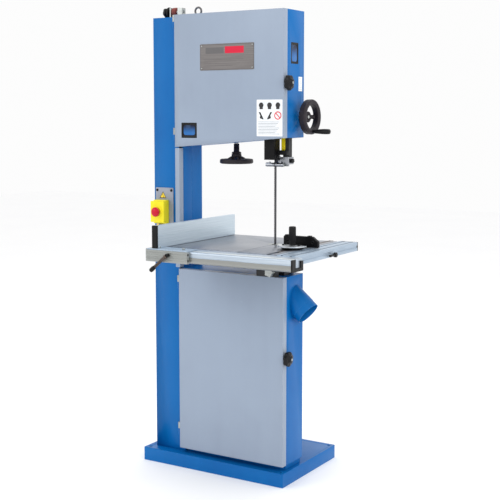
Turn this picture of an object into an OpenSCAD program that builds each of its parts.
// Band saw with a box column, two wheel casings, a tilting table and a geared guide post.
// Millimetres. Origin at the centre of the base's underside, +X right, +Y back, +Z up.

/* [Base] */
// Width of the base plate
base_w = 686; // [640:1:830]
// Depth of the base plate
base_d = 452; // [400:1:545]
// Height of the folded base
base_h = 56; // [40:1:68]
// Sheet thickness of the base
base_t = 5; // [4:0.5:6]
// Radius of the anchor holes
anchor_r = 6.5; // [5:0.5:8]
// Distance of the anchor holes from the base edges
anchor_inset = 20; // [16:1:30]

/* [Column and casings] */
// Height of the column and casings above the floor
total_h = 1880; // [1860:1:2000]
// Width of the column
column_w = 149; // [130:1:160]
// Depth of the casings behind the doors
case_d = 132; // [128:1:150]
// Sheet thickness of the casings
case_t = 3; // [2:0.5:4]
// Wall thickness of the column
column_t = 4; // [3:0.5:5]
// Gap between the column's right side and the casing's right side
case_w = 492; // [480:1:500]
// Distance of the casings' right side from the base's right edge
case_inset = 11; // [5:1:40]
// Distance of the casing fronts from the base's front edge
case_setback = 46; // [42:1:60]
// Height of the lower casing's top above the floor
lower_top = 840; // [836:1:850]
// Height of the lower casing's bottom above the base
lower_gap = 22; // [10:1:30]
// Height of the upper casing's bottom at its left end
upper_bottom = 1344; // [1330:1:1350]
// Rise of the upper casing's bottom from left to right
upper_rise = 42; // [0:1:45]

/* [Doors] */
// Thickness of the doors
door_t = 28.6; // [24:0.2:32]
// Sheet thickness of the doors
door_sheet = 2; // [1.5:0.5:3]
// How far the upper door reaches over the column front
upper_lap = 22; // [18:1:26]
// How far the lower door reaches over the column front
lower_lap = 7; // [5:1:12]
// Radius of the hinge knuckles
knuckle_r = 7.5; // [6:0.5:8]
// Radius of the hinge pins
hinge_pin_r = 4; // [3:0.5:5]
// Radius of the lobed door knobs
knob_r = 31; // [25:1:35]

/* [Wheels and blade] */
// Radius of the blade wheels over the tyre
wheel_r = 215; // [200:1:218]
// Width of the blade wheels
wheel_w = 28; // [24:1:30]
// Thickness of the rubber tyres
tyre_t = 4; // [3:0.5:6]
// Number of spokes in a wheel
spokes = 5; // [3:1:8]
// Height of the upper wheel's centre
upper_axle_z = 1640; // [1630:1:1648]
// Height of the lower wheel's centre
lower_axle_z = 600; // [590:1:612]
// Distance of the wheel centres from the casings' right side
axle_from_side = 294; // [290:1:300]
// Width of the blade
blade_w = 18; // [10:1:22]
// Thickness of the blade
blade_t = 0.9; // [0.6:0.1:1.2]
// Radius of the wheel axles
axle_r = 12.5; // [10:0.5:15]
// Outer radius of the wheel bearings
bearing_r = 26; // [22:1:30]

/* [Table] */
// Height of the table's working surface
table_z = 962; // [955:1:970]
// Width of the table
table_w = 510; // [480:1:520]
// Depth of the table
table_d = 490; // [460:1:500]
// Thickness of the table plate
table_t = 12; // [10:1:14]
// Depth of the table's outer rim
table_rim = 28; // [20:1:30]
// Distance from the table's right edge to the blade
blade_to_edge = 168; // [165:1:172]
// Distance from the table's front edge to the blade's centre
blade_to_front = 277; // [260:1:290]
// Radius of the round table insert
insert_r = 30; // [25:1:35]
// Thickness of the round table insert
insert_t = 4; // [3:0.5:5]
// Centre of the mitre slot, from the table's right edge
slot_from_edge = 33; // [30:1:36]
// Width of the mitre slot
slot_w = 19; // [16:0.5:20]
// Depth of the mitre slot
slot_depth = 8; // [6:0.5:9]

/* [Rails and fence] */
// Overhang of the front rail past the table's left edge
rail_left = 14; // [10:1:30]
// Overhang of the front rail past the table's right edge
rail_right = 107; // [90:1:120]
// Depth of the front rail
rail_d = 84; // [75:1:90]
// Height of the front rail
rail_h = 38; // [34:1:42]
// Width of the aluminium profile along the table's right side
profile_w = 75; // [60:1:80]
// Height of the aluminium profile
profile_h = 36; // [30:1:40]
// Length of the fence plate
fence_l = 556; // [500:1:570]
// Height of the fence plate
fence_h = 88; // [70:1:90]
// Thickness of the fence plate
fence_t = 16; // [12:1:20]

/* [Handwheels] */
// Radius of the handwheels
handwheel_r = 70; // [60:1:72]
// Thickness of a handwheel's rim
rim_t = 20; // [16:1:22]
// Depth of a handwheel's dish
dish = 22; // [16:1:26]

/* [Guide post] */
// Side of the square guide post
post_s = 26; // [24:1:30]
// Length of the guide post
post_l = 520; // [480:1:540]
// Height of the guide post's lower end at rest
post_z = 1310; // [1300:1:1320]
// Module of the rack and pinion
gear_m = 2; // [2:0.5:2.5]
// Number of pinion teeth
pinion_n = 20; // [18:1:22]

/* [Dust port] */
// Outer radius of the dust port
dust_r = 50; // [40:1:52]
// Wall of the dust port
dust_wall = 2; // [1.5:0.5:3]
// Slope of the dust port below level
dust_tilt = 40; // [30:1:45]
// Distance of the dust port's mouth from the casing, along its axis
dust_l = 72; // [66:1:90]

/* [Drive] */
// Radius of the driven pulley
driven_r = 105; // [90:1:110]
// Radius of the motor pulley
drive_r = 38; // [32:1:42]
// Radius of the motor body
motor_r = 88; // [70:1:92]
// Length of the motor body
motor_l = 215; // [180:1:230]

/* [Ribs] */
// Width of the stiffener under the base
base_rib = 20; // [12:1:40]
// Width of the ribs under the table
rib_t = 10; // [8:1:12]
// Length of the hose's seat on the dust port
hose_seat = 28; // [20:1:32]

/* [Hidden] */

$fn = 64;
// Clearance between pieces that turn or slide
gap = 0.3;
// Radial clearance of shafts in their bores
fit = 0.05;

blue = "#0f73ba";
door_grey = "#a2b0c2";
black = "#1c1a1d";
steel = "#a9adb3";
alu = "#bccad6";

case_r = base_w / 2 - case_inset;
case_l = case_r - case_w;
case_f = -base_d / 2 + case_setback;
case_b = case_f + case_d;
col_l = case_l - column_w;
door_f = case_f - door_t;
lower_z = base_h + lower_gap;
door_r = case_r;
upper_door_l = case_l - upper_lap;
lower_door_l = case_l - lower_lap;
slope = upper_rise / (case_w + upper_lap);

axle_x = case_r - axle_from_side;
wheel_y = case_f + 44;
blade_x = axle_x + wheel_r + blade_t / 2;
blade_back_x = axle_x - wheel_r - blade_t / 2;
carrier_y = wheel_y + wheel_w / 2 + 5;

table_r = blade_x + blade_to_edge;
table_l = table_r - table_w;
table_f = wheel_y - blade_to_front;
table_b = table_f + table_d;
slot_x = table_r - slot_from_edge;
under_z = table_z - table_t;

rail_f = table_f - rail_d;
rail_z = table_z - rail_h - 4;
rail_l = table_l - rail_left;
rail_r = table_r + rail_right;

post_x = blade_x + 27;
post_y = wheel_y + 14;
post_top = post_z + post_l;
pitch_r = gear_m * pinion_n / 2;
pinion_y = post_y + post_s + gear_m + pitch_r;
pinion_z = 1467;
tension_y = carrier_y + 34;

knob_y = case_f - door_t / 2;
knob_z = [1598, 517];
hinge_y = case_f - door_t / 2;
upper_pin_x = upper_door_l - knuckle_r - 2;
lower_pin_x = lower_door_l - knuckle_r - 2;
hinge_z = [[upper_pin_x, 1853], [upper_pin_x, 1395], [lower_pin_x, 783], [lower_pin_x, 157]];
knuckle_h = 27;

dust_y = -102;
dust_z = 734;
tilt_x = blade_x;

roller_r = 15.5;
roller_x = blade_x - 4;

hub_r = 36;
hub_back = 12;
motor_x = axle_x + 75;
motor_z = 225;
carrier_h = 130;
carrier_w = 90;
wheel_top = 1318;
hw_x = case_r + 6;
arm_z = 1318;
arm_h = 18;
guard_x = blade_x - 29;
guard_y = wheel_y - 38;
thrust_y = wheel_y + blade_w / 2 + roller_r + gap;
thrust_z = post_z - 11;
trunnion_r = 96;
trunnion_w = 22;
trunnion_y = [wheel_y - 70, wheel_y + 52];
saddle_w = 88;
profile_l = table_r + gap;
profile_len = table_d + 26;
lever_y = table_f + 300;
carriage_l = rail_l;
carriage_w = 190;
carriage_z = rail_z + rail_h + gap;
fence_x = table_l + 26.55;
lock_x = carriage_l + 104.55;
mitre_y = table_f + 177;
bar_len = 424;
switch_x = col_l + 8;
box_w = 62;
column_seam = case_f + case_d * 0.45;
eye_x = case_l + 23;
eye_y = case_f + 80;
track_x = col_l + 11;
track_y = case_f + 65;
track_z = total_h + 20;
track_r = 6;
plate_place = [door_r - 387, 1652];
plate_size = [254, 104];
label_place = [door_r - 121, 1392];
label_size = [116, 142];
side_window_z = 1673;
side_window_h = 82;

module ring(ro, ri, h) {
    difference() {
        cylinder(r = ro, h = h);
        translate([0, 0, -1]) cylinder(r = ri, h = h + 2);
    }
}

module at_y(x, y, z) {
    translate([x, y, z]) rotate([-90, 0, 0]) children();
}

module at_x(x, y, z) {
    translate([x, y, z]) rotate([0, 90, 0]) children();
}

module lobes(r, h, n = 6) {
    cylinder(r = r * 0.84, h = h);
    for (i = [0 : n - 1]) rotate(i * 360 / n) translate([r * 0.76, 0, 0]) cylinder(r = r * 0.24, h = h);
}

// ---- frame and covers ----

module anchor_places() {
    for (x = [-1, 1], y = [-1, 1])
        translate([x * (base_w / 2 - anchor_inset), y * (base_d / 2 - anchor_inset), 0]) children();
}

module base_plate() {
    // welded stiffener across the middle, which also stands on the floor
    color(blue) translate([-base_rib / 2, -base_d / 2 + 1, 0]) cube([base_rib, base_d - 2, base_h - 1]);
    color(blue) difference() {
        translate([-base_w / 2, -base_d / 2, 0]) cube([base_w, base_d, base_h]);
        translate([-base_w / 2 + base_t, -base_d / 2 + base_t, -1])
            cube([base_w - 2 * base_t, base_d - 2 * base_t, base_h - base_t + 1]);
        anchor_places() cylinder(r = anchor_r, h = 2 * base_h);
    }
}

module column_box() {
    difference() {
        translate([col_l, case_f, base_h]) cube([column_w, case_d + 3, total_h - base_h - 6]);
        translate([col_l + column_t, case_f + column_t, base_h + column_t])
            cube([column_w - 2 * column_t, case_d + 3 - 2 * column_t, total_h - base_h - 6 - 2 * column_t]);
        // slot for the blade in the front, and openings into both casings
        translate([blade_back_x - 5, case_f - 1, lower_z + 8])
            cube([case_l - blade_back_x - column_t, column_t + 2, total_h - lower_z - 30]);
        for (z = [[lower_z + 8, lower_top - 4], [upper_bottom + 8, total_h - 12]])
            translate([case_l - column_t - 1, case_f - 1, z[0]])
                cube([column_t + 2, case_d - 6, z[1] - z[0]]);
        // shallow groove where the two folded sheets of the column meet
        translate([case_l - 0.8, case_f + case_d * 0.45, lower_top + 10])
            cube([2, 2, upper_bottom - lower_top - 20]);
    }
}

module column_front() {
    color(blue) intersection() {
        column_box();
        translate([col_l - 1, case_f - 1, 0]) cube([column_w + 4, column_seam - case_f + 1, total_h]);
    }
    fixed_hinge_knuckles();
}

module column_back() {
    color(blue) intersection() {
        column_box();
        translate([col_l - 1, column_seam, 0]) cube([column_w + 4, case_d, total_h]);
    }
}

module blade_cover_strip() {
    strip_w = 21;
    color(door_grey) difference() {
        translate([upper_door_l, door_f, lower_top + 6])
            cube([strip_w, door_t - gap, upper_bottom - lower_top - 10]);
        translate([upper_door_l + door_sheet, door_f + door_sheet, lower_top + 5])
            cube([strip_w - 2 * door_sheet, door_t, upper_bottom - lower_top - 8]);
    }
}

module slanted(x0, x1, y0, y1, z_left, z_top) {
    // block whose underside rises to the right with the upper casing's slope
    translate([0, y1, 0]) rotate([90, 0, 0]) linear_extrude(y1 - y0)
        polygon([[x0, z_left + slope * (x0 - upper_door_l)], [x1, z_left + slope * (x1 - upper_door_l)],
                 [x1, z_top], [x0, z_top]]);
}

module side_window(z0, h, depth) {
    translate([case_r - depth, case_f + 28, z0]) cube([2 * depth, 58, h]);
}

module upper_casing() {
    color(blue) difference() {
        slanted(case_l + gap, case_r, case_f, case_b, upper_bottom, total_h);
        slanted(case_l - 1, case_r - case_t, case_f - 1, case_b - case_t, upper_bottom + case_t, total_h - case_t);
        side_window(side_window_z, side_window_h, 10);
        // slot for the guide post and the blade guard, and holes for screw and shaft
        translate([blade_x - 34, case_f - 1, upper_bottom - 10]) cube([95, 100, 80]);
        translate([axle_x, tension_y, upper_bottom - 5]) cylinder(r = 11, h = 60);
        at_x(case_r - 10, pinion_y, pinion_z) cylinder(r = 9 + fit, h = 20);
        // window behind the wheel for the tracking screw
        at_y(axle_x, case_b - 10, upper_axle_z) cylinder(r = 30, h = 20);
    }
    carrier_rails();
}

module dust_axis() {
    translate([case_r, dust_y, dust_z]) rotate([0, 90 + dust_tilt, 0]) children();
}

module lower_casing() {
    color(blue) difference() {
        translate([case_l + gap, case_f, lower_z]) cube([case_w - gap, case_d, lower_top - lower_z]);
        translate([case_l - 1, case_f - 1, lower_z + case_t])
            cube([case_w + 1 - case_t, case_d + 1 - case_t, lower_top - lower_z - 2 * case_t]);
        translate([blade_x - 14, case_f - 1, lower_top - 10]) cube([28, case_d - 20, 20]);
        at_y(axle_x, case_b - 10, lower_axle_z) cylinder(r = 42 + gap, h = 20);
        at_y(motor_x, case_b - 10, motor_z) cylinder(r = 16, h = 20);
        dust_axis() translate([0, 0, -60]) cylinder(r = dust_r - dust_wall, h = 120);
    }
    // foot that carries the casing on the base
    color(blue) translate([case_l + 8, case_f + 12, base_h]) cube([case_w - 16, case_d - 16, lower_gap]);
}

module dust_port() {
    color(blue) difference() {
        union() {
            dust_axis() translate([0, 0, -70]) cylinder(r = dust_r, h = 70 + dust_l);
            // step that the hose is pushed up to
            dust_axis() translate([0, 0, -70]) cylinder(r = dust_r + 1, h = 70 + dust_l - hose_seat);
        }
        dust_axis() translate([0, 0, -71]) cylinder(r = dust_r - dust_wall, h = 72 + dust_l);
        translate([case_r - 300, dust_y - 100, dust_z - 200]) cube([300, 200, 400]);
    }
}

// ---- doors, hinges and knobs ----

module door_shell(x0, z0, z1, sloped) {
    difference() {
        if (sloped) slanted(x0, door_r, door_f, case_f - gap, z0, z1);
        else translate([x0, door_f, z0]) cube([door_r - x0, door_t - gap, z1 - z0]);
        if (sloped) slanted(x0 + door_sheet, door_r - door_sheet, door_f + door_sheet, case_f + 1,
                            z0 + door_sheet, z1 - door_sheet);
        else translate([x0 + door_sheet, door_f + door_sheet, z0 + door_sheet])
            cube([door_r - x0 - 2 * door_sheet, door_t + 1, z1 - z0 - 2 * door_sheet]);
    }
}

module upper_door() {
    color(door_grey) difference() {
        door_shell(upper_door_l, upper_bottom, total_h, true);
        translate([upper_door_l + 33, door_f - 1, upper_bottom + 38]) cube([76, door_sheet + 2, 60]);
        at_x(door_r - 10, knob_y, knob_z[0]) cylinder(r = 5 + fit, h = 20);
    }
}

module lower_door() {
    color(door_grey) difference() {
        door_shell(lower_door_l, lower_z, lower_top, false);
        at_x(door_r - 10, knob_y, knob_z[1]) cylinder(r = 5 + fit, h = 20);
    }
}

module fixed_hinge_knuckles() {
    // lower knuckles with their pins, welded to the column front by a small leaf
    color(blue) for (h = hinge_z) {
        translate([h[0], hinge_y, h[1] - knuckle_h]) cylinder(r = knuckle_r, h = knuckle_h - gap);
        translate([h[0], hinge_y, h[1] - knuckle_h]) cylinder(r = hinge_pin_r, h = 2 * knuckle_h - 2);
        translate([h[0] - 3, hinge_y, h[1] - knuckle_h]) cube([6, case_f - hinge_y, knuckle_h - gap]);
    }
}

module door_knuckle(h, leaf_to) {
    color(steel) translate([h[0], hinge_y, h[1]]) difference() {
        union() {
            cylinder(r = knuckle_r, h = knuckle_h);
            translate([0, -3, 0]) cube([leaf_to - h[0], 6, knuckle_h]);
        }
        translate([0, 0, -1]) cylinder(r = hinge_pin_r + fit, h = knuckle_h + 2);
    }
}

module upper_door_knuckles() {
    for (i = [0, 1]) door_knuckle(hinge_z[i], upper_door_l);
}

module lower_door_knuckles() {
    for (i = [2, 3]) door_knuckle(hinge_z[i], lower_door_l);
}

module door_knob(z) {
    color(black) at_x(door_r + 8, knob_y, z) {
        lobes(knob_r, 17);
        cylinder(r = 13, h = 24);
    }
    color(steel) {
        at_x(door_r - 9, knob_y, z) cylinder(r = 5, h = 17.5);
        at_x(door_r + gap, knob_y, z) cylinder(r = 10, h = 8);
        // cam tongue that bears on the inside of the casing
        translate([door_r - 9, knob_y - 9, z - 8]) cube([4, 42, 16]);
    }
}

module upper_door_knob() door_knob(knob_z[0]);

module lower_door_knob() door_knob(knob_z[1]);

module lifting_eye() {
    color(steel) {
        translate([eye_x, eye_y, total_h]) cylinder(r = 11, h = 5);
        translate([eye_x, eye_y, total_h + 21]) rotate([90, 0, 0])
            rotate_extrude() translate([15, 0]) circle(r = 4);
        translate([eye_x, eye_y, total_h + 4]) cylinder(r = 5, h = 5);
    }
}

module rating_plate() {
    color("#7b7879") translate([plate_place[0], door_f - 1, plate_place[1]])
        cube([plate_size[0], 1, plate_size[1]]);
}

module safety_label() {
    color("white") translate([label_place[0], door_f - 0.6, label_place[1]])
        cube([label_size[0], 0.6, label_size[1]]);
}

module door_plates() {
    rating_plate();
    safety_label();
}

// ---- wheels, blade and their carrier ----

module wheel(z) {
    rim = wheel_r - tyre_t;
    color(steel) at_y(axle_x, wheel_y - wheel_w / 2, z) difference() {
        union() {
            ring(rim, rim - 8, wheel_w);
            cylinder(r = hub_r, h = wheel_w);
            for (i = [0 : spokes - 1]) rotate(90 + i * 360 / spokes)
                translate([hub_r - 6, -12, wheel_w / 2 - 5]) cube([rim - 4 - hub_r + 4, 24, 10]);
        }
        translate([0, 0, -1]) cylinder(r = bearing_r, h = wheel_w + 2);
    }
    // ball bearings pressed into the hub
    for (y = [1, wheel_w - 13]) color(alu)
        at_y(axle_x, wheel_y - wheel_w / 2 + y, z) ring(bearing_r, axle_r + fit, 12);
}

module tyre(z) {
    color(black) at_y(axle_x, wheel_y - wheel_w / 2, z) ring(wheel_r, wheel_r - tyre_t, wheel_w);
}

module upper_wheel() wheel(upper_axle_z);

module tyres_upper() tyre(upper_axle_z);

module lower_wheel() {
    wheel(lower_axle_z);
    // driven pulley bolted to the back of the wheel
    color(steel) at_y(axle_x, wheel_y + wheel_w / 2, lower_axle_z) difference() {
        ring(driven_r, 44, 14);
        translate([0, 0, 3]) ring(driven_r + 1, driven_r - 5, 8);
    }
    color(steel) for (a = [54 : 120 : 414]) at_y(axle_x, wheel_y + wheel_w / 2, lower_axle_z)
        rotate(a) translate([34, -6, 0]) cube([14, 12, 10]);
}

module tyres_lower() tyre(lower_axle_z);

module wheel_axle(z, to_y) {
    color(steel) {
        at_y(axle_x, wheel_y - wheel_w / 2 - 2, z) cylinder(r = axle_r, h = to_y - wheel_y + wheel_w / 2 + 2);
        at_y(axle_x, wheel_y - wheel_w / 2 - 8, z) cylinder(r = axle_r + 5, h = 6, $fn = 6);
    }
}

module lower_axle() {
    // axle with the housing that carries it behind the wheel
    housing_f = wheel_y + wheel_w / 2 + 16;
    wheel_axle(lower_axle_z, housing_f + 10);
    color(black) {
        at_y(axle_x, housing_f, lower_axle_z) cylinder(r = 42, h = case_b - housing_f + 14);
        at_y(axle_x, case_b, lower_axle_z) ring(70, 41, 10);
    }
}

module saw_blade() {
    r = wheel_r + gap / 2;
    color("#4a4a4e") translate([0, wheel_y - blade_w / 2, 0]) {
        for (e = [[upper_axle_z, 0], [lower_axle_z, 180]])
            translate([axle_x, 0, e[0]]) rotate([-90, e[1] == 0 ? 0 : 180, 0]) difference() {
                ring(r + blade_t, r, blade_w);
                translate([-2 * r, 0, -1]) cube([4 * r, 2 * r, blade_w + 2]);
            }
        for (x = [axle_x - r - blade_t, axle_x + r])
            translate([x, 0, lower_axle_z]) cube([blade_t, blade_w, upper_axle_z - lower_axle_z]);
    }
}

module wheel_carrier() {
    wheel_axle(upper_axle_z, carrier_y + 10);
    color(black) difference() {
        translate([axle_x - carrier_w / 2, carrier_y, upper_axle_z - carrier_h / 2])
            cube([carrier_w, case_b - case_t - gap - carrier_y - 12, carrier_h]);
        translate([axle_x, tension_y, upper_axle_z - carrier_h / 2 - 1]) cylinder(r = 8 + fit, h = 46);
    }
    // ears that run in the rails
    color(black) for (s = [-1, 1])
        translate([axle_x + s * (carrier_w / 2 + 4) - 4, tension_y - 12, upper_axle_z - carrier_h / 2])
            cube([8, 20, carrier_h]);
}

module carrier_rails() {
    // two grooved rails for the carrier's ears, and the nut block of the tension screw
    rail_y0 = tension_y - 12;
    for (s = [-1, 1]) difference() {
        translate([axle_x + s * (carrier_w / 2 + 13) - 12, rail_y0 - 8, upper_axle_z - 150])
            cube([24, case_b - case_t - rail_y0 + 8, 240]);
        translate([axle_x + s * (carrier_w / 2 + 4) - (s > 0 ? 12 : 4 + gap), rail_y0 - gap, upper_axle_z - 151])
            cube([16 + gap, 20 + 2 * gap, 242]);
    }
    difference() {
        translate([axle_x - 30, tension_y - 14, upper_bottom + 50])
            cube([60, case_b - case_t - tension_y + 14, 24]);
        translate([axle_x, tension_y, upper_bottom]) cylinder(r = 8 + fit, h = 200);
    }
}

module tension_screw() {
    z0 = wheel_top - 2;
    color(steel) difference() {
        union() {
            translate([axle_x, tension_y, z0]) cylinder(r = 8, h = upper_axle_z - carrier_h / 2 + 40 - z0);
            translate([axle_x, tension_y, upper_axle_z - carrier_h / 2 - 30]) cylinder(r = 20, h = 6);
        }
        for (i = [0 : 11]) translate([axle_x, tension_y, upper_bottom + 26 + 6 * i]) ring(9, 7.2, 2.5);
    }
}

module tension_spring() {
    coils = 5;
    z0 = upper_axle_z - carrier_h / 2 - 24 + gap;
    pitch = (24 - 2 * gap) / coils;
    color("#5f6670") for (i = [0 : coils - 1])
        translate([axle_x, tension_y, z0 + pitch * (i + 0.5)]) rotate_extrude()
            translate([15, 0]) circle(r = pitch / 2 - 0.01, $fn = 24);
}

module handwheel(spoke_n = 3) {
    // rim, dished spokes and hub; the hub's face is at 0 and the rim lies towards +Z
    hub = 20;
    rim_c = handwheel_r - rim_t / 2 + 2;
    color(black) {
        translate([0, 0, dish]) rotate_extrude() translate([handwheel_r - 11, 0]) hull() {
            translate([4, rim_t - 6]) circle(r = 6, $fn = 32);
            translate([5, 6]) circle(r = 5, $fn = 32);
            translate([-4, rim_t - 5]) circle(r = 4, $fn = 32);
            translate([-2, 4]) circle(r = 4, $fn = 32);
        }
        difference() {
            union() {
                cylinder(r = hub, h = dish + 8);
                rotate_extrude() polygon([[hub - 1, 4], [hub + 8, 8], [handwheel_r - 12, dish + 4],
                    [handwheel_r - 12, dish + 12], [hub + 4, 16], [hub - 1, 14]]);
            }
            for (i = [0 : spoke_n - 1]) rotate(i * 360 / spoke_n) translate([0, 0, -1])
                rotate_extrude(angle = 360 / spoke_n - 34) translate([hub + 9, 0])
                    square([handwheel_r - 12 - hub - 9 - 4, 60]);
        }
    }
}

module tension_handwheel() {
    difference() {
        translate([axle_x, tension_y, wheel_top]) rotate([180, 0, 0]) handwheel(6);
        translate([axle_x, tension_y, wheel_top - 2]) cylinder(r = 8, h = 10);
    }
}

module tracking_bracket() {
    // block on the column's top with a clevis for the adjusting screw
    color(alu) difference() {
        translate([track_x + 76, track_y - 13, total_h - 6]) cube([22, 26, 42]);
        at_x(track_x + 68, track_y, track_z) cylinder(r = track_r + fit, h = 60);
    }
    color(alu) difference() {
        translate([track_x + 36, track_y - 13, total_h - 6]) cube([5, 26, 44]);
        at_x(track_x + 28, track_y, track_z) cylinder(r = track_r + fit, h = 60);
    }
}

module tracking_knob() {
    // knob, lock disc, fibre washer and screw on one axis
    at_x(track_x, track_y, track_z) {
        color(black) translate([0, 0, 4]) lobes(19, 13, 5);
        color(black) translate([0, 0, 22]) cylinder(r = 22, h = 7);
        color("#7a4038") translate([0, 0, 48]) cylinder(r = 19, h = 18);
        color(steel) cylinder(r = track_r, h = 96);
    }
}

// ---- guide post ----

module rack_teeth(n, z0) {
    p = PI * gear_m;
    for (i = [0 : n - 1]) translate([0, 0, z0 + p * i])
        rotate([90, 0, 90]) linear_extrude(14)
            polygon([[-0.5, -1.25 * gear_m], [gear_m, -0.45 * gear_m], [gear_m, 0.45 * gear_m], [-0.5, 1.25 * gear_m]]);
}

module guide_post() {
    rack_n = floor((post_l - 130) / (PI * gear_m));
    tooth0 = pinion_z - PI * gear_m * 14;
    color(steel) {
        translate([post_x, post_y, post_z]) cube([post_s, post_s, post_l]);
        translate([post_x + 6, post_y + post_s, tooth0 + PI * gear_m / 2])
            rack_teeth(rack_n, 0);
    }
}

module post_bracket() {
    // guide block fixed to the casing's back plate; the post slides through it
    y0 = post_y - 8;
    color(black) for (z = [upper_bottom + 60, pinion_z + 60]) difference() {
        translate([post_x - 9, y0, z]) cube([post_s + 18, case_b - case_t - y0, 34]);
        translate([post_x - gap, post_y - gap, z - 1]) cube([post_s + 2 * gap, post_s + 2 * gap + gear_m + 1, 36]);
    }
}

module pinion_shaft() {
    addendum = pitch_r + 0.8 * gear_m;
    root = pitch_r - 1.2 * gear_m;
    color(steel) {
        at_x(post_x + 6, pinion_y, pinion_z) {
            difference() {
                cylinder(r = addendum, h = 14);
                for (i = [0 : pinion_n - 1]) rotate((i + 0.5) * 360 / pinion_n) translate([root, 0, -1])
                    linear_extrude(16) polygon([[0, -0.75 * gear_m], [gear_m * 3, -1.75 * gear_m],
                                                [gear_m * 3, 1.75 * gear_m], [0, 0.75 * gear_m]]);
            }
            cylinder(r = 9, h = case_r + 6 - post_x - 6);
        }
    }
}

module height_handwheel() {
    at_x(hw_x, pinion_y, pinion_z) handwheel(3);
    color(steel) at_x(hw_x + dish + rim_t - gap, pinion_y, pinion_z - 57) cylinder(r = 4, h = 90);
}

module crank_grip() {
    color(black) at_x(hw_x + dish + rim_t + 2, pinion_y, pinion_z - 57) difference() {
        union() {
            cylinder(r1 = 7, r2 = 10.5, h = 60, $fn = 48);
            translate([0, 0, 60]) cylinder(r1 = 10.5, r2 = 8.5, h = 22, $fn = 48);
        }
        translate([0, 0, -1]) cylinder(r = 4 + fit, h = 84);
    }
}

module blade_guard() {
    w = 45;
    d = 46;
    color(black) difference() {
        translate([guard_x, guard_y, 1299]) cube([w, d, 150]);
        translate([guard_x + 2, guard_y + 2, 1298]) cube([w - 4, d, 160]);
    }
    // arm that holds the guard on the post
    color(black) translate([guard_x + w - 2, guard_y + d - 12, arm_z])
        cube([post_x + post_s - guard_x - w + 2, post_y - guard_y - d + 12 - gap, arm_h]);
}

module upper_guide_head() {
    // block clamped on the post's lower end, with two brackets that hold the guide pins
    z = post_z - 33;
    pin_y = wheel_y - 2;
    plate_y = wheel_y + blade_w / 2 + 1;
    color(black) translate([post_x - 8, post_y - 10, z + 4]) cube([post_s + 14, post_s + 12, 29 - gap]);
    color(steel) translate([blade_x - 40, plate_y, z - 4]) cube([92, 10, 8]);
    color(steel) at_x(blade_x - 4, thrust_y, thrust_z) cylinder(r = 5, h = post_x - 8 - blade_x + 5);
    for (s = [-1, 1]) {
        far = s < 0 ? -40 : 6;
        color(steel) at_x(blade_x + far, pin_y, z + 2) cylinder(r = 8, h = 34);
        color(steel) translate([blade_x + s * 26 - 7, pin_y, z - 4]) cube([14, plate_y - pin_y + 2, 8]);
        color("#b08d3a") translate([blade_x + s * 24, pin_y, z + 9]) cylinder(r = 4, h = 5);
        color(black) at_x(blade_x + (s < 0 ? -7 : 1.2), pin_y, z + 2) cylinder(r = 6, h = 5.8);
    }
}

module upper_thrust_roller() {
    color(alu) at_x(blade_x - 3, thrust_y, thrust_z) ring(roller_r, 5 + fit, 8);
}

module guide_clamp_knob() {
    color(black) at_x(post_x + post_s + 7, post_y + 8, post_z - 15) lobes(9, 10, 5);
    color(steel) at_x(post_x + post_s + 6, post_y + 8, post_z - 15) cylinder(r = 3, h = 2);
}

module guide_pointer() {
    color("yellow") translate([post_x - 6, post_y - 3 - gap, arm_z + arm_h]) cube([16, 3, 56]);
}

// ---- below the table ----

module lower_guides() {
    // bracket on the casing's top with two guide pins and the thrust roller's axle
    z = 884;
    color(black) translate([blade_x + 16, wheel_y - 14, lower_top]) cube([34, 44, 12]);
    color(black) translate([blade_x + 22, wheel_y - 12, lower_top + 12]) cube([10, 40, z - lower_top - 2]);
    color(steel) at_x(blade_x + blade_t / 2 + gap, wheel_y - 2, z) cylinder(r = 6, h = 22 - blade_t / 2 - gap);
    color(black) translate([blade_x - 30, wheel_y - 12, lower_top]) cube([14, 40, z - lower_top + 10]);
    color(steel) at_x(blade_x - 16, wheel_y - 2, z) cylinder(r = 6, h = 16 - blade_t / 2 - gap);
    color(steel) at_x(blade_x - 18, thrust_y, z) cylinder(r = 5, h = 42);
}

module lower_thrust_roller() {
    color(alu) at_x(roller_x, thrust_y, 884) ring(roller_r, 5 + fit, 8);
}

module trunnions() {
    color(black) for (y = trunnion_y) difference() {
        at_y(tilt_x, y, table_z) difference() {
            cylinder(r = trunnion_r, h = trunnion_w, $fn = 96);
            translate([0, 0, -1]) cylinder(r = trunnion_r - 22, h = trunnion_w + 2);
        }
        translate([tilt_x - 150, y - 1, under_z]) cube([300, trunnion_w + 2, 200]);
    }
}

module trunnion_saddle() {
    color(black) for (y = trunnion_y) difference() {
        translate([tilt_x - saddle_w / 2, y - 2, lower_top]) cube([saddle_w, trunnion_w + 4, 44]);
        at_y(tilt_x, y - 3, table_z) cylinder(r = trunnion_r + gap, h = trunnion_w + 6, $fn = 96);
    }
}

module tilt_lock_knob() {
    // clamping knob in front of the front saddle
    color(black) at_y(tilt_x + 30, trunnion_y[0] - 34, lower_top + 23) lobes(19, 18, 5);
    color(steel) at_y(tilt_x + 30, trunnion_y[0] - 16, lower_top + 23) cylinder(r = 5, h = 14 - gap);
}

// ---- table, rails and fence ----

module table() {
    color(steel) difference() {
        translate([table_l, table_f, under_z]) cube([table_w, table_d, table_t]);
        translate([slot_x - slot_w / 2, table_f - 1, table_z - slot_depth])
            cube([slot_w, table_d + 2, slot_depth + 1]);
        translate([blade_x, wheel_y, table_z - insert_t]) cylinder(r = insert_r, h = 10);
        translate([blade_x, wheel_y, under_z - 60]) cylinder(r = insert_r - 4, h = 80);
        translate([blade_x - 1.5, table_f - 1, under_z - 60]) cube([3, blade_to_front, 90]);
    }
}

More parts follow.
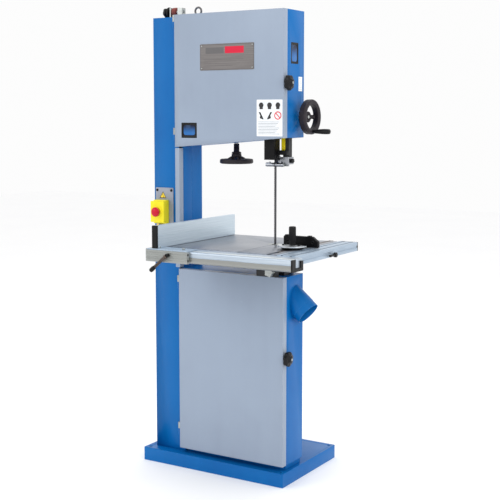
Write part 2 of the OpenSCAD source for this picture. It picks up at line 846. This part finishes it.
module table_frame() {
    // ribs under the plate, open where the trunnions and the blade are
    frame_z = under_z - table_rim + table_t;
    bay_w = (table_w - 3 * rib_t) / 2;
    bay_d = (table_d - 3 * rib_t) / 2;
    color(steel) difference() {
        translate([table_l, table_f, frame_z]) cube([table_w, table_d, under_z - frame_z]);
        for (x = [0, 1], y = [0, 1])
            translate([table_l + rib_t + x * (bay_w + rib_t), table_f + rib_t + y * (bay_d + rib_t), frame_z - 1])
                cube([bay_w, bay_d, under_z - frame_z + 2]);
        translate([tilt_x - trunnion_r - 3, trunnion_y[0] - 5, frame_z - 1])
            cube([2 * trunnion_r + 6, trunnion_y[1] - trunnion_y[0] + trunnion_w + 10, under_z - frame_z + 2]);
        translate([blade_x - 1.5, table_f - 1, frame_z - 1]) cube([3, blade_to_front, under_z - frame_z + 2]);
    }
}

module table_insert() {
    color(alu) difference() {
        translate([blade_x, wheel_y, table_z - insert_t]) cylinder(r = insert_r - 0.2, h = insert_t - 0.1);
        translate([blade_x - 6, wheel_y - insert_r - 1, table_z - 10]) cube([12, insert_r + blade_w, 20]);
    }
}

module rail_section() {
    // Y to the back, Z up, with its front lower corner rounded
    difference() {
        union() {
            translate([19, 0]) square([rail_d - 19, rail_h]);
            translate([19, rail_h / 2]) circle(r = rail_h / 2);
        }
        translate([26, 4]) square([24, rail_h - 8]);
        translate([55, 4]) square([rail_d - 60, rail_h - 8]);
        for (i = [0 : 4]) translate([28 + i * 10, rail_h - 1.2]) square([2, 3]);
    }
}

module front_rail() {
    cap = 6;
    color(alu) translate([rail_l, rail_f, rail_z]) rotate([90, 0, 90])
        linear_extrude(rail_r - rail_l) rail_section();
    color(black) for (x = [rail_l - cap, rail_r]) translate([x, rail_f, rail_z]) rotate([90, 0, 90])
        linear_extrude(cap) union() {
            translate([19, 0]) square([rail_d - 19, rail_h]);
            translate([19, rail_h / 2]) circle(r = rail_h / 2);
        }
}

module side_profile() {
    color(alu) translate([profile_l, table_f + profile_len, table_z - 1 - profile_h]) rotate([90, 0, 0])
        linear_extrude(profile_len - gap) difference() {
            square([profile_w, profile_h]);
            translate([4, 4]) square([30, profile_h - 8]);
            translate([39, 4]) square([profile_w - 43, profile_h - 8]);
            for (i = [0 : 4]) translate([12 + i * 12, profile_h - 1.2]) square([2, 3]);
        }
    color(black) translate([profile_l, table_f + profile_len, table_z - 1 - profile_h])
        cube([profile_w, 6, profile_h]);
    // T-bolts between the profile and the table edge
    color(steel) for (y = [80, table_d - 60]) at_x(profile_l + profile_w, table_f + y, table_z - 20)
        cylinder(r = 6, h = 4, $fn = 6);
}

module profile_lever() {
    x = profile_l + profile_w + 9;
    z = table_z - 28;
    color(steel) at_x(profile_l + profile_w + gap, lever_y, z) cylinder(r = 5, h = 8);
    color(black) at_x(x, lever_y, z) cylinder(r = 10, h = 12);
    color(black) translate([x + 2, lever_y - 50, z - 5]) cube([8, 46, 10]);
}

module fence() {
    fy = rail_f + 2;
    // aluminium plate with two long chambers
    color(alu) translate([fence_x - fence_t, fy + fence_l, table_z + 1]) rotate([90, 0, 0])
        linear_extrude(fence_l) difference() {
            square([fence_t, fence_h]);
            translate([3, 3]) square([fence_t - 6, 36]);
            translate([3, 44]) square([fence_t - 6, fence_h - 47]);
        }
    color(black) translate([fence_x - fence_t - 1, fy - 6, table_z + 1]) cube([fence_t + 2, 6, fence_h]);
    // carriage that straddles the front of the rail
    color(alu) translate([carriage_l, rail_f, carriage_z]) rotate([90, 0, 90]) linear_extrude(carriage_w)
        difference() {
            translate([-14, 0]) square([70, 4.6 + gap]);
            translate([-10, -1]) square([1, 2]);
        }
    color(alu) translate([carriage_l, rail_f, carriage_z]) rotate([90, 0, 90]) linear_extrude(carriage_w)
        difference() {
            translate([-16, -46]) square([15.4, 46]);
            translate([-13, -43]) square([9, 18]);
            translate([-13, -22]) square([9, 19]);
        }
    color(black) translate([carriage_l - 5, rail_f - 16, carriage_z - 46]) cube([5, 15.4, 50]);
}

module fence_lever() {
    y0 = rail_f - 16;
    z = carriage_z - 16;
    color(steel) at_y(lock_x, y0 - 16, z) cylinder(r = 7, h = 16 - gap);
    color("#6d5f58") translate([lock_x, y0 - 12, z]) rotate([0, 140, 0]) translate([6, 0, 0]) rotate([0, 90, 0])
        cylinder(r = 4, h = 66);
    color(black) translate([lock_x, y0 - 12, z]) rotate([0, 140, 0]) translate([72, 0, 0]) rotate([0, 90, 0])
        cylinder(r = 11, h = 30);
}

// ---- mitre gauge ----

module mitre_bar() {
    color("#4d413c") translate([slot_x - slot_w / 2 + gap, table_f + 81, table_z - slot_depth + gap])
        cube([slot_w - 2 * gap, bar_len, slot_depth - gap]);
    color(steel) translate([slot_x, mitre_y, table_z]) cylinder(r = 6, h = 9);
}

module mitre_head() {
    z = table_z + 1;
    color(alu) difference() {
        translate([slot_x, mitre_y, z]) cylinder(r = 58, h = 4);
        translate([slot_x - 70, mitre_y + 8, z - 1]) cube([140, 70, 6]);
        translate([slot_x, mitre_y, z - 1]) cylinder(r = 6 + fit, h = 20);
    }
    color(black) {
        difference() {
            union() {
                translate([slot_x - 22, mitre_y + 8, z]) cube([44, 56, 12]);
                translate([slot_x - 76, mitre_y + 64, z]) rotate([90, 0, 0]) mirror([0, 0, 1])
                    linear_extrude(16) polygon([[0, 0], [152, 0], [152, 24], [128, 42], [0, 42]]);
            }
            translate([slot_x, mitre_y, z - 1]) cylinder(r = 17, h = 20);
        }
    }
}

module mitre_knob() {
    z = table_z + 9 + gap;
    color(black) translate([slot_x, mitre_y, z]) {
        cylinder(r = 16, h = 10);
        translate([0, 0, 10]) cylinder(r = 19, h = 68);
    }
}

// ---- drive and controls ----

module motor() {
    color("#3c4046") {
        at_y(motor_x, case_b + 8, motor_z) cylinder(r = motor_r, h = motor_l);
        at_y(motor_x, case_b, motor_z) ring(60, 16 + gap, 8);
        translate([motor_x - 70, case_b + 40, base_h]) cube([140, 120, 12]);
        for (x = [-60, 44]) translate([motor_x + x, case_b + 40, base_h + 12])
            cube([16, 120, motor_z - base_h - 12 - motor_r * 0.7]);
        translate([motor_x - 55, case_b + 50, motor_z + motor_r - 6]) cube([110, 90, 40]);
    }
}

module motor_pulley() {
    y0 = wheel_y + wheel_w / 2;
    color(steel) {
        at_y(motor_x, y0, motor_z) difference() {
            cylinder(r = drive_r, h = 14);
            translate([0, 0, 3]) ring(drive_r + 1, drive_r - 5, 8);
        }
        at_y(motor_x, y0 + 14, motor_z) cylinder(r = 12, h = case_b + 8 - y0 - 14 - gap);
    }
}

module belt_outline(grow) {
    hull() {
        translate([axle_x, lower_axle_z]) circle(r = driven_r - 5 + grow, $fn = 96);
        translate([motor_x, motor_z]) circle(r = drive_r - 5 + grow, $fn = 96);
    }
}

module drive_belt() {
    color(black) translate([0, wheel_y + wheel_w / 2 + 10, 0]) rotate([90, 0, 0]) linear_extrude(6)
        difference() {
            belt_outline(5.5);
            belt_outline(gap);
        }
}

module switch_unit() {
    color("#9aa0ad") translate([switch_x, case_f - 3, 997]) cube([90, 3, 176]);
    color(black) for (x = [8, 80]) at_y(switch_x + x, case_f - 6, 1162) cylinder(r = 5, h = 3);
    color("yellow") translate([switch_x + 6, case_f - 36, 1024]) difference() {
        cube([box_w, 33, 98]);
        translate([14, -1, 16]) cube([box_w - 28, 18, 66]);
        translate([box_w / 2, 10, 72]) rotate([-90, 0, 0]) cylinder(r = 8 + fit, h = 17);
    }
}

module switch_lid() {
    color("yellow") translate([switch_x + 3, case_f - 52, 1030]) difference() {
        cube([box_w + 6, 16 - gap, 88]);
        translate([4, 4, 4]) cube([box_w - 2, 20, 80]);
        translate([(box_w + 6) / 2, -1, 44]) rotate([-90, 0, 0]) cylinder(r = 9 + fit, h = 10);
    }
}

module stop_button() {
    color("red") at_y(switch_x + 3 + box_w / 2 + 3, case_f - 70, 1074) {
        cylinder(r = 20, h = 10);
        cylinder(r = 9, h = 32);
    }
}

module start_button() {
    color("green") at_y(switch_x + 6 + box_w / 2, case_f - 26, 1096) cylinder(r = 8, h = 12);
}

base_plate();
column_front();
column_back();
blade_cover_strip();
upper_casing();
lower_casing();
upper_door();
lower_door();
upper_door_knuckles();
lower_door_knuckles();
upper_door_knob();
lower_door_knob();
lifting_eye();
door_plates();
dust_port();
upper_wheel();
lower_wheel();
tyres_upper();
tyres_lower();
lower_axle();
saw_blade();
wheel_carrier();
tension_screw();
tension_spring();
tension_handwheel();
tracking_bracket();
tracking_knob();
guide_post();
post_bracket();
pinion_shaft();
height_handwheel();
crank_grip();
blade_guard();
upper_guide_head();
upper_thrust_roller();
guide_clamp_knob();
guide_pointer();
lower_guides();
lower_thrust_roller();
table();
table_frame();
table_insert();
trunnions();
trunnion_saddle();
tilt_lock_knob();
front_rail();
side_profile();
profile_lever();
fence();
fence_lever();
mitre_bar();
mitre_head();
mitre_knob();
motor();
motor_pulley();
drive_belt();
switch_unit();
switch_lid();
stop_button();
start_button();
